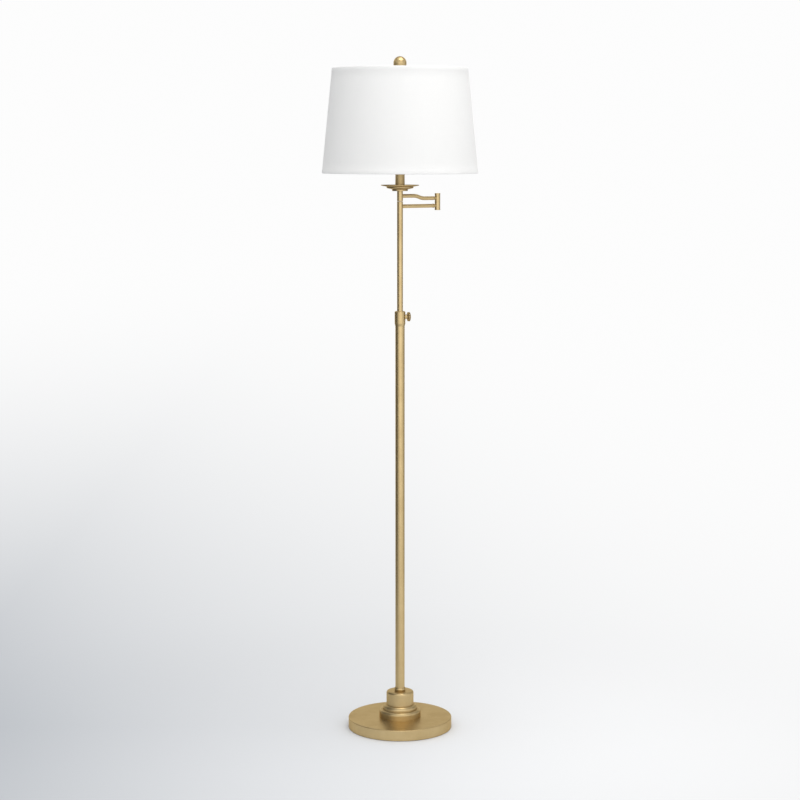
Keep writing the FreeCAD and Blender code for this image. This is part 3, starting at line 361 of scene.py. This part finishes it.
def satin_brass(name, grain="round", centre=(0, 0, 0), turn=0, shaded_crevices=(), shade_browning=0):
    """Lacquered antique brass. The crevices argument lists heights and reaches of crevices browned as
    painted shade, and the last argument is how far the whole of it is browned as painted shade, from 0
    to 1."""
    finish = new_finish(name)
    place = finish.place(centre, turn)
    lines = brass_lines(finish, place, grain)
    cloud = finish.step(finish.noise(place, 22, 4, 0.6), 0.3, 0.75)
    specks = finish.step(finish.noise(place, 620, 2), 0.68, 0.8)
    colour = finish.tint(BRASS, BRASS_DEEP, cloud * 0.55 + lines * 0.25)
    # Real tarnish specks, plus painted shade that browns the whole piece by its browning share.
    colour = finish.tint(colour, BRASS_TARNISH_AND_SHADE, specks * 0.3 + shade_browning * (0.8 + 0.2 * cloud))
    height = finish.parts(place)[2]
    # Painted shade: each listed crevice is browned, unevenly.
    crevice_shade = 0
    for at, reach in shaded_crevices:
        crevice_shade = finish.near(height, at, reach) + crevice_shade
    if shaded_crevices:
        uneven = 0.05 + 0.25 * finish.noise(place, 90, 3)
        colour = finish.tint(colour, BRASS_TARNISH_AND_SHADE, crevice_shade * uneven)
    return finish.coat(
        Base_Color=colour,
        Metallic=0.9,
        Specular_Tint=BRASS_EDGE,
        Roughness=0.3 + lines * 0.06 + cloud * 0.06 + specks * 0.1,
        Normal=finish.bump(lines, 0.000002),
    )


def plain_brass():
    """Bright stamped brass of the socket, with the press's faint rings."""
    finish = new_finish("stamped_brass")
    place = finish.place()
    lines = brass_lines(finish, place, "round")
    cloud = finish.noise(place, 60, 3)
    return finish.coat(
        Base_Color=finish.tint((0.72, 0.53, 0.24), (0.6, 0.42, 0.17), cloud),
        Metallic=1,
        Roughness=0.18 + lines * 0.1 + cloud * 0.06,
        Normal=finish.bump(lines, 0.00001),
    )


def zinc_steel():
    """Dull zinc plate with its small crystals."""
    finish = new_finish("zinc_plate")
    place = finish.place()
    crystals = finish.cells(place, 900)
    cloud = finish.noise(place, 45, 4)
    return finish.coat(
        Base_Color=finish.tint((0.55, 0.56, 0.57), (0.38, 0.38, 0.36), cloud * 0.6 + crystals * 0.3),
        Metallic=1,
        Roughness=0.34 + crystals * 0.15 + cloud * 0.08,
        Normal=finish.bump(crystals, 0.00002),
    )


def cast_iron():
    """Rough sand casting under a thin black dip, rusty where the dip missed."""
    finish = new_finish("dipped_cast_iron")
    place = finish.place()
    grains = finish.noise(place, 700, 4, 0.65)
    lumps = finish.noise(place, 60, 4)
    missed = finish.step(finish.noise(place, 35, 5, 0.7), 0.6, 0.7)
    colour = finish.tint((0.025, 0.025, 0.026), (0.055, 0.053, 0.05), grains)
    return finish.coat(
        Base_Color=finish.tint(colour, (0.12, 0.05, 0.025), missed * 0.6),
        Roughness=0.62 + grains * 0.25,
        Normal=finish.bump(grains * 0.6 + lumps * 0.4, 0.0004),
    )


FELT_CURL = 0.004


def pressed_felt():
    """Dark wool felt: matted fibres, lighter lint."""
    finish = new_finish("pressed_felt")
    place = finish.place()
    curl = finish.add("ShaderNodeTexNoise", None, {"Vector": place, "Scale": 300, "Detail": 2})
    curled = {0: curl["Color"], 1: (FELT_CURL,) * 3, 2: place}
    bent = finish.add("ShaderNodeVectorMath", {"operation": "MULTIPLY_ADD"}, curled)["Vector"]
    fibres = finish.noise(bent, 1500, 4, 0.7)
    lint = finish.step(finish.noise(bent, 420, 3, 0.6), 0.64, 0.74)
    colour = finish.tint((0.018, 0.03, 0.022), (0.045, 0.07, 0.052), fibres)
    return finish.coat(
        Base_Color=finish.tint(colour, (0.16, 0.19, 0.16), lint * 0.35),
        Roughness=0.95,
        Sheen_Weight=0.4,
        Sheen_Roughness=0.5,
        Normal=finish.bump(fibres, 0.0005),
    )


def moulded(name, colour, darker, roughness, depth):
    """Moulded plastic with the mould's fine spark grain."""
    finish = new_finish(name)
    place = finish.place()
    grain = finish.noise(place, 1300, 3, 0.6)
    cloud = finish.noise(place, 50, 3)
    return finish.coat(
        Base_Color=finish.tint(colour, darker, cloud * 0.6 + grain * 0.25),
        Roughness=roughness + grain * 0.15,
        Normal=finish.bump(grain, depth),
    )


def fibre_paper():
    """Vulcanised fibre tube: pressed layers with darker strands."""
    finish = new_finish("vulcanised_fibre")
    place = finish.place()
    strands = finish.noise(finish.stretched(place, (1, 1, 0.25)), 1100, 4, 0.7)
    layers = finish.noise(finish.stretched(place, (1, 1, 9)), 160, 3)
    return finish.coat(
        Base_Color=finish.tint((0.34, 0.23, 0.13), (0.2, 0.125, 0.065), strands * 0.6 + layers * 0.3),
        Roughness=0.7 + strands * 0.15,
        Normal=finish.bump(strands, 0.00005),
    )


def frosted_glass():
    """Bulb glass, etched white inside: a fine grain over a soft white glow."""
    finish = new_finish("frosted_bulb")
    place = finish.place()
    etch = finish.noise(place, 1600, 2)
    cloud = finish.noise(place, 40, 3)
    return finish.coat(
        Base_Color=finish.tint((0.93, 0.93, 0.92), (0.86, 0.86, 0.84), cloud * 0.5 + etch * 0.2),
        Roughness=0.3 + etch * 0.12 + cloud * 0.08,
        Transmission_Weight=0.35,
        IOR=1.45,
        Normal=finish.bump(etch, 0.000008),
    )


def rolled_aluminium():
    """Soft rolled aluminium of the bulb's screw base, scuffed along its thread."""
    finish = new_finish("rolled_aluminium")
    place = finish.place()
    lines = brass_lines(finish, place, "round")
    scuffs = finish.step(finish.noise(place, 300, 4, 0.6), 0.5, 0.75)
    return finish.coat(
        Base_Color=finish.tint((0.78, 0.78, 0.78), (0.55, 0.55, 0.54), scuffs * 0.6 + lines * 0.2),
        Metallic=1,
        Roughness=0.3 + scuffs * 0.2 + lines * 0.08,
        Normal=finish.bump(scuffs, 0.00002),
    )


def white_wire():
    """White powder coat: its fine orange peel, greyer where it has been handled."""
    finish = new_finish("white_powder_coat")
    place = finish.place()
    peel = finish.noise(place, 900, 2)
    cloud = finish.noise(place, 30, 4)
    return finish.coat(
        Base_Color=finish.tint((0.8, 0.79, 0.76), (0.7, 0.69, 0.65), cloud * 0.7),
        Roughness=0.38 + peel * 0.12,
        Normal=finish.bump(peel, 0.00006),
    )


def shade_lining():
    """Matt styrene sheet inside the shade, with its rolled sheen and a little dust."""
    finish = new_finish("styrene_lining")
    place = finish.place()
    rolled = finish.noise(finish.stretched(place, (1, 1, 0.2)), 400, 3)
    dust = finish.noise(place, 25, 5, 0.7)
    return finish.coat(
        Base_Color=finish.tint((0.9, 0.895, 0.88), (0.83, 0.82, 0.79), dust * 0.6 + rolled * 0.2),
        Roughness=0.55 + rolled * 0.15,
        Normal=finish.bump(rolled, 0.00004),
    )


THREAD_PITCH = 0.00062


def shade_linen(name, colour=(0.8, 0.8, 0.796)):
    """White linen: a plain weave on the piece's own flat pattern, with slubs and soft pilling."""
    finish = new_finish(name)
    flat = finish.add("ShaderNodeTexCoord")["UV"]
    u, v, _ = finish.parts(flat)
    waver = finish.noise(flat, 60, 2) * 0.5
    across = u * (math.pi / THREAD_PITCH) + waver
    along = v * (math.pi / THREAD_PITCH) + waver
    warp = finish.maths("SINE", across)
    weft = finish.maths("SINE", along)
    crossing = warp * weft * 0.5 + 0.5
    weave = abs(warp) * crossing + abs(weft) * (1 - crossing)
    warp_slubs = finish.noise(finish.stretched(flat, (1500, 26, 1)), 1, 2)
    weft_slubs = finish.noise(finish.stretched(flat, (26, 1500, 1)), 1, 2)
    slubs = finish.step(warp_slubs, 0.52, 0.78) + finish.step(weft_slubs, 0.52, 0.78)
    cloud = finish.noise(flat, 9, 4)
    gap = finish.tint(colour, (0.74, 0.735, 0.72), (1 - weave) * 0.45)
    tone = finish.tint(gap, (0.84, 0.835, 0.815), slubs * 0.35 + cloud * 0.12)
    return finish.coat(
        Base_Color=tone,
        Roughness=0.9,
        Sheen_Weight=0.12,
        Sheen_Roughness=0.4,
        Normal=finish.bump(weave * 0.8 + slubs * 0.5, 0.00018),
    )


def dress(material, *names):
    """Gives CAD nodes a finish in place of the one that they came with."""
    for name in names:
        for slot in nodes[name].material_slots:
            slot.material = material


# ---- Making pieces ----------------------------------------------------------------

MM = 0.001
SAME = 0.01 * MM
SIDE_SLOPE = 0.2
SMOOTH_BELOW = 34


def select_only(piece):
    bpy.ops.object.select_all(action="DESELECT")
    piece.select_set(True)
    bpy.context.view_layer.objects.active = piece


def turned(name, rings, sides, closed=True):
    """A piece turned about the upright: a circle at its foot, extruded ring by ring. Each ring
    is a radius and a height in mm. Its two ends are closed with a face or left open."""
    (radius, height), *others = rings
    bpy.ops.object.select_all(action="DESELECT")
    foot = (0, 0, height * MM)
    bpy.ops.mesh.primitive_circle_add(vertices=sides, radius=radius * MM, location=foot)
    piece = bpy.context.object
    piece.name = name
    bpy.ops.object.mode_set(mode="EDIT")
    bpy.ops.mesh.select_mode(type="EDGE")
    bpy.ops.mesh.select_all(action="SELECT")
    for wide, high in others:
        rise = (0, 0, (high - height) * MM)
        bpy.ops.mesh.extrude_edges_move(TRANSFORM_OT_translate={"value": rise})
        ratio = wide / radius
        bpy.ops.transform.resize(value=(ratio, ratio, 1), center_override=(0, 0, high * MM))
        radius, height = wide, high
    if closed:
        bpy.ops.mesh.edge_face_add()
    bpy.ops.object.mode_set(mode="OBJECT")
    foot_height = rings[0][1] * MM - piece.location.z
    foot_radius = rings[0][0] * MM
    for edge in piece.data.edges:
        ends = [piece.data.vertices[end].co for end in edge.vertices]
        edge.select = all(
            abs(end.z - foot_height) < SAME and abs(end.xy.length - foot_radius) < SAME
            for end in ends
        )
    bpy.ops.object.mode_set(mode="EDIT")
    if closed:
        bpy.ops.mesh.edge_face_add()
    bpy.ops.mesh.select_all(action="SELECT")
    bpy.ops.mesh.normals_make_consistent(inside=False)
    bpy.ops.object.mode_set(mode="OBJECT")
    bpy.ops.object.transform_apply(location=True, rotation=True, scale=True)
    return piece


def groove_rim(piece, low, high, thickness, depth):
    """Presses a groove into every second side face between two heights, in mm."""
    select_only(piece)
    rim = [
        face
        for face in piece.data.polygons
        if low * MM < face.center.z < high * MM and abs(face.normal.z) < SIDE_SLOPE
    ]
    rim.sort(key=lambda face: math.atan2(face.center.y, face.center.x))
    for part in (piece.data.polygons, piece.data.edges, piece.data.vertices):
        part.foreach_set("select", [False] * len(part))
    for face in rim[::2]:
        face.select = True
    bpy.ops.object.mode_set(mode="EDIT")
    bpy.ops.mesh.select_mode(type="FACE")
    bpy.ops.mesh.inset(use_individual=True, thickness=thickness * MM, depth=-depth * MM)
    bpy.ops.object.mode_set(mode="OBJECT")


def lay_down(piece, height, azimuth):
    """Lays a piece that was made upright along a level direction, at its height."""
    select_only(piece)
    piece.rotation_euler = (0, math.pi / 2, math.radians(azimuth))
    piece.location = (0, 0, height * MM)
    bpy.ops.object.transform_apply(location=True, rotation=True, scale=True)


def add_wall(piece, thickness, offset=-1):
    """Gives a skin its thickness in mm, inwards unless its offset says otherwise."""
    select_only(piece)
    wall = piece.modifiers.new("wall", "SOLIDIFY")
    wall.thickness = thickness * MM
    wall.offset = offset
    bpy.ops.object.modifier_apply(modifier=wall.name)


def fit(piece, material, body, slot, *replaced):
    """Finishes a piece, and sets it on its body in place of the nodes that it stands for."""
    select_only(piece)
    bpy.ops.object.shade_smooth_by_angle(angle=math.radians(SMOOTH_BELOW))
    piece.data.materials.clear()
    piece.data.materials.append(material)
    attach(piece, body)
    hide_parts(*replaced)
    return piece


# ---- Shade ------------------------------------------------------------------------

SHADE_LOW = (183.35, 1339.2)
SHADE_TOP = (158.7, 1582.5)
SHADE_SLOPE = (SHADE_LOW[0] - SHADE_TOP[0]) / (SHADE_TOP[1] - SHADE_LOW[1])
SHADE_SIDES = 256
COVER_EDGE = ((-0.8, 0.25), (-0.2, 0.0), (0.3, 0.6), (0.5, 2.4), (0.5, 8.8), (0.1, 10.2))
COVER_OUT, COVER_EDGE_H = COVER_EDGE[-1]
COVER_ROWS = 14
COVER_WALL = 0.75
HEM_WALL = 0.5
SEAM_WIDTH = 12
SEAM_SHORTER = 2
SEAM_WALL = 0.6
SEAM_OUT = 0.95
SEAM_FOLDED_OUT = 0.3
SEAM_FOLD = 0.45
HEM_LINE = (
    (0.3, 0.25),
    (1.2, 0.03),
    (3.0, 0.0),
    (4.4, 0.35),
    (5.2, 1.3),
    (5.4, 2.4),
    (4.9, 3.9),
    (3.6, 5.9),
    (2.5, 7.8),
    (2.25, 9.5),
    (2.2, 12.0),
)


def shade_radius(height, depth=0):
    return SHADE_LOW[0] - (height - SHADE_LOW[1]) * SHADE_SLOPE - depth


def lay_out_flat(piece):
    """Gives the cloth its place on the flat pattern it is cut from, in metres: a fan whose
    middle is at the front, and whose two ends meet at the back. A point on that line belongs to
    both ends, so each face takes it on the face's own side."""
    apex = SHADE_LOW[1] + SHADE_LOW[0] / SHADE_SLOPE
    slant = math.hypot(1, SHADE_SLOPE)
    fan = SHADE_SLOPE / slant
    layer = piece.data.uv_layers.active or piece.data.uv_layers.new(name="flat")
    points = piece.data.vertices
    for face in piece.data.polygons:
        side = 1 if face.center.x > 0 else -1
        for loop in face.loop_indices:
            x, y, z = points[piece.data.loops[loop].vertex_index].co
            turn = math.atan2(x, -y)
            if turn * side < -math.pi / 2:
                turn = -turn
            reach = (apex * MM - z) * slant
            layer.data[loop].uv = (reach * math.sin(turn * fan), reach * math.cos(turn * fan))


def make_shade_cover():
    """The linen, drawn over the lining: it swells a little where it is doubled at the hems."""
    rings = []
    for out, rise in COVER_EDGE:
        height = SHADE_LOW[1] + rise
        rings.append((shade_radius(height) + out, height))
    low, high = SHADE_LOW[1] + COVER_EDGE_H, SHADE_TOP[1] - COVER_EDGE_H
    for row in range(1, COVER_ROWS):
        height = low + (high - low) * row / COVER_ROWS
        rings.append((shade_radius(height) + COVER_OUT, height))
    for out, rise in reversed(COVER_EDGE):
        height = SHADE_TOP[1] - rise
        rings.append((shade_radius(height) + out, height))
    cover = turned("shade_cover", rings, SHADE_SIDES, closed=False)
    add_wall(cover, COVER_WALL)
    lay_out_flat(cover)
    return cover


def make_hem(name, edge_height, inward):
    """The cloth turned in over the wire and glued along the lining. Inward is 1 where the hem
    runs up from its edge, and -1 where it runs down."""
    rings = []
    for depth, rise in HEM_LINE:
        height = edge_height + inward * rise
        rings.append((shade_radius(height, depth), height))
    hem = turned(name, rings, SHADE_SIDES, closed=False)
    add_wall(hem, HEM_WALL, inward)
    lay_out_flat(hem)
    return hem


def make_back_seam():
    """The cover's lapped edge down the back, folded under along its free side."""
    height = SHADE_TOP[1] - SHADE_LOW[1] - SEAM_SHORTER
    bpy.ops.object.select_all(action="DESELECT")
    bpy.ops.mesh.primitive_grid_add(x_subdivisions=8, y_subdivisions=40, size=MM)
    seam = bpy.context.object
    seam.name = "shade_back_seam"
    middle = (SHADE_LOW[1] + SHADE_TOP[1]) / 2
    for point in seam.data.vertices:
        along = point.co.y / MM
        across = point.co.x / MM * SEAM_WIDTH
        upright = middle + along * height
        raised = SEAM_OUT if across > -SEAM_WIDTH * SEAM_FOLD else SEAM_FOLDED_OUT
        radius = shade_radius(upright) + raised
        turn = across / radius
        point.co = (-radius * math.sin(turn) * MM, radius * math.cos(turn) * MM, upright * MM)
    add_wall(seam, SEAM_WALL)
    select_only(seam)
    bpy.ops.object.mode_set(mode="EDIT")
    bpy.ops.mesh.select_all(action="SELECT")
    bpy.ops.mesh.normals_make_consistent(inside=False)
    bpy.ops.object.mode_set(mode="OBJECT")
    lay_out_flat(seam)
    return seam


def make_shade():
    linen = shade_linen("shade_linen")
    hem_linen = shade_linen("hem_linen", (0.79, 0.79, 0.78))
    cover = fit(make_shade_cover(), linen, "shade", "shade_fabric", "shade_fabric")
    top = make_hem("shade_hem_top", SHADE_TOP[1], -1)
    fit(top, hem_linen, "shade", "shade_fabric", "shade_top_hem")
    low = make_hem("shade_hem_low", SHADE_LOW[1], 1)
    fit(low, hem_linen, "shade", "shade_fabric", "shade_bottom_hem")
    seam = fit(make_back_seam(), linen, "shade", "shade_fabric")


# ---- Base, knobs, finial and bulb -------------------------------------------------

FELT_R = 121.5
FELT_H = 3
THUMB_KNOB_HEIGHT = 1000.4
THUMB_KNOB_AZIMUTH = 14
SWITCH_KNOB_HEIGHT = 1366.5
SWITCH_KNOB_AZIMUTH = -90
ROUND_STEP = 6


def round_end(radius, centre, start):
    """Rings of a round end, from so many degrees above its widest up to near its top."""
    rings = []
    for degrees in range(start, 90, ROUND_STEP):
        lift = math.radians(degrees)
        rings.append((radius * math.cos(lift), centre + radius * math.sin(lift)))
    return rings


def make_felt():
    """The felt under the base, with its cut edge a little rounded."""
    rings = (
        (119.9, 0),
        (120.9, 0.15),
        (FELT_R, 0.8),
        (FELT_R, 2.3),
        (120.8, 2.85),
        (119.9, FELT_H),
    )
    pad = fit(turned("felt_pad", rings, 160), pressed_felt(), "stand", "felt", "base_felt")


def make_thumb_knob(brass):
    """Round dished knob of the clamp screw, with a straight knurl round its rim."""
    rings = (
        (2.5, 15.6),
        (4.8, 15.6),
        (5.2, 16.0),
        (5.2, 18.0),
        (5.7, 18.7),
        (6.9, 19.1),
        (8.6, 18.95),
        (9.8, 18.65),
        (10.5, 18.8),
        (11.0, 19.4),
        (11.0, 23.0),
        (10.6, 23.6),
        (9.9, 24.0),
        (8.2, 24.6),
        (6.2, 25.2),
        (4.0, 25.7),
        (2.0, 25.95),
        (0.6, 26.0),
    )
    knob = turned("thumb_knob_knurled", rings, 108)
    groove_rim(knob, low=19.5, high=22.9, thickness=0.1, depth=0.28)
    lay_down(knob, THUMB_KNOB_HEIGHT, THUMB_KNOB_AZIMUTH)
    fit(knob, brass, "thumb_screw", "satin_brass", "thumb_knob")


def make_switch_knob(brass):
    """The socket's small turned key knob, fluted round its grip."""
    rings = (
        (1.7, 19.0),
        (2.7, 19.0),
        (3.0, 19.3),
        (3.0, 22.2),
        (3.4, 22.9),
        (4.4, 23.4),
        (5.0, 24.2),
        (5.0, 29.3),
        (4.7, 30.1),
        (4.0, 30.7),
        (2.6, 30.95),
        (0.6, 31.0),
    )
    knob = turned("switch_knob_fluted", rings, 80)
    groove_rim(knob, low=24.3, high=29.2, thickness=0.06, depth=0.25)
    lay_down(knob, SWITCH_KNOB_HEIGHT, SWITCH_KNOB_AZIMUTH)
    fit(knob, brass, "switch_key", "satin_brass", "switch_knob")


def make_finial(brass):
    """Domed finial on a waisted neck, with its corner rounded as it was turned."""
    radius, top = 15.2, 1610
    rings = [
        (5.0, 1570.9),
        (5.5, 1571.05),
        (5.6, 1571.4),
        (5.6, 1581.4),
        (5.9, 1582.0),
        (12.6, 1585.45),
        (13.7, 1586.05),
        (14.6, 1586.5),
        (15.05, 1587.05),
        (radius, 1587.8),
        (radius, top - radius),
    ]
    rings += round_end(radius, top - radius, ROUND_STEP)
    rings.append((0.4, top))
    fit(turned("finial_dome", rings, 96), brass, "finial", "satin_brass", "finial")


def make_bulb():
    """A pear-shaped bulb: its glass runs from the neck into the round without a corner."""
    radius, centre = 30, 1458
    rings = [
        (13.0, 1401.2),
        (13.6, 1402.0),
        (13.7, 1408),
        (13.7, 1416),
        (14.0, 1421),
        (15.1, 1426),
        (17.5, 1431),
        (20.7, 1435.8),
    ]
    rings += round_end(radius, centre, -35)
    rings.append((0.5, centre + radius))
    glass = turned("bulb_frosted", rings, 96)
    add_wall(glass, 0.8)
    fit(glass, frosted_glass(), "upper_arm", "frosted_glass", "bulb_glass")


def make_bulb_base():
    """The bulb's rolled screw thread over its contact."""
    low, high, pitch = 1384.5, 1400.6, 3.6
    middle, swing, steps = 12.75, 0.35, 32
    rings = [
        (1.2, 1379),
        (3.9, 1379.1),
        (4.5, 1379.6),
        (4.6, 1380.6),
        (10.6, 1383.4),
        (12.3, 1384.2),
    ]
    for step in range(steps + 1):
        height = low + (high - low) * step / steps
        rings.append((middle + swing * math.cos(2 * math.pi * (height - low) / pitch), height))
    rings.append((12.4, 1401.0))
    base = turned("bulb_screw_base", rings, 72)
    fit(base, rolled_aluminium(), "upper_arm", "aluminium_base", "bulb_base")


# ---- The lamp ---------------------------------------------------------------------

add_camera()
add_world()
add_floor()
add_panel("key_panel", (0.5, -2.7, 1.3), (0, 0, 0.9), 3.6, 2.6, 0.48)
add_panel("overhead_panel", (0.3, -0.5, 2.9), (0, 0, 0), 1.4, 1.4, 2.6)
add_card("left_card", (-1.2, 0, 0.95), (0, 0, 0.95), 2.0, 1.9, 0.09)
add_card("right_card", (1.2, 0.65, 0.95), (0, 0, 0.95), 1.5, 1.9, 0.38)

ARM_TURN = math.radians(30)
ELBOW_CENTRE = (0.0892, 0.0515, 0)
# Heights and reaches of the cap's crevices that get painted shade: where the cap sits on the base,
# between its tiers, and where the pole meets its foot ring.
CAP_SHADED_CREVICES = ((0.0262, 0.0012), (0.0455, 0.0012), (0.057, 0.0012), (0.0985, 0.0015))

turned_brass = satin_brass("turned_satin_brass")
cap_brass = satin_brass("cap_satin_brass", shaded_crevices=CAP_SHADED_CREVICES)
tube_brass = satin_brass("tube_satin_brass", "upright")
# Painted shade: the neck and drip pan under the lampshade, and the thumb knob, are browned as a whole.
neck_brass = satin_brass("neck_satin_brass", shade_browning=0.2)
pan_brass = satin_brass("pan_satin_brass", shade_browning=0.34)
knob_brass = satin_brass("knob_satin_brass", shade_browning=0.5)
arm_brass = satin_brass("arm_satin_brass", "level", turn=ARM_TURN)
elbow_brass = satin_brass("elbow_satin_brass", centre=ELBOW_CENTRE)
bright_brass = plain_brass()
zinc = zinc_steel()
nylon = moulded("natural_nylon", (0.72, 0.69, 0.6), (0.62, 0.58, 0.48), 0.35, 0.00002)
bushing_black = moulded("bushing_black", (0.03, 0.03, 0.031), (0.015, 0.015, 0.015), 0.5, 0.00005)
phenolic = moulded("phenolic", (0.035, 0.022, 0.016), (0.016, 0.01, 0.008), 0.3, 0.00002)

dress(turned_brass, "base_shell", "clamp_collar", "thumb_screw", "lower_arm_knuckle", "head_stem")
dress(pan_brass, "drip_pan")
dress(neck_brass, "neck_tube", "neck_ring")
dress(turned_brass, "mast_pivot", "mast_pivot_washer", "mast_pivot_nut")
dress(turned_brass, "harp_saddle", "harp_sleeves", "harp", "harp_stud", "switch_shaft")
dress(cap_brass, "base_cap", "pole_foot_ring")
dress(tube_brass, "lower_pole", "mast_tube")
dress(arm_brass, "lower_arm_tube", "upper_arm_tube", "lower_arm_tip", "upper_arm_tip")
dress(elbow_brass, "elbow_lower_knuckle", "elbow_upper_knuckle", "elbow_pivot", "elbow_washer")
dress(elbow_brass, "elbow_bottom_cap", "elbow_top_cap")
dress(bright_brass, "socket_cap", "socket_shell", "socket_screw_shell", "socket_contact")
dress(zinc, "lamp_pipe", "pipe_washer", "pipe_nut", "pole_foot_bushing", "head_pipe", "pan_nut")
dress(cast_iron(), "base_weight")
dress(bushing_black, "cord_inlet_bushing")
dress(nylon, "collar_liner", "clamp_shoe", "mast_guide_ring")
dress(phenolic, "socket_body")
dress(fibre_paper(), "socket_liner")
dress(white_wire(), "shade_spider", "shade_top_ring", "shade_bottom_ring")
dress(shade_lining(), "shade_liner")

make_shade()
make_felt()
make_thumb_knob(knob_brass)
make_switch_knob(turned_brass)
make_finial(turned_brass)
make_bulb()
make_bulb_base()

bpy.context.scene.view_settings.view_transform = "Standard"
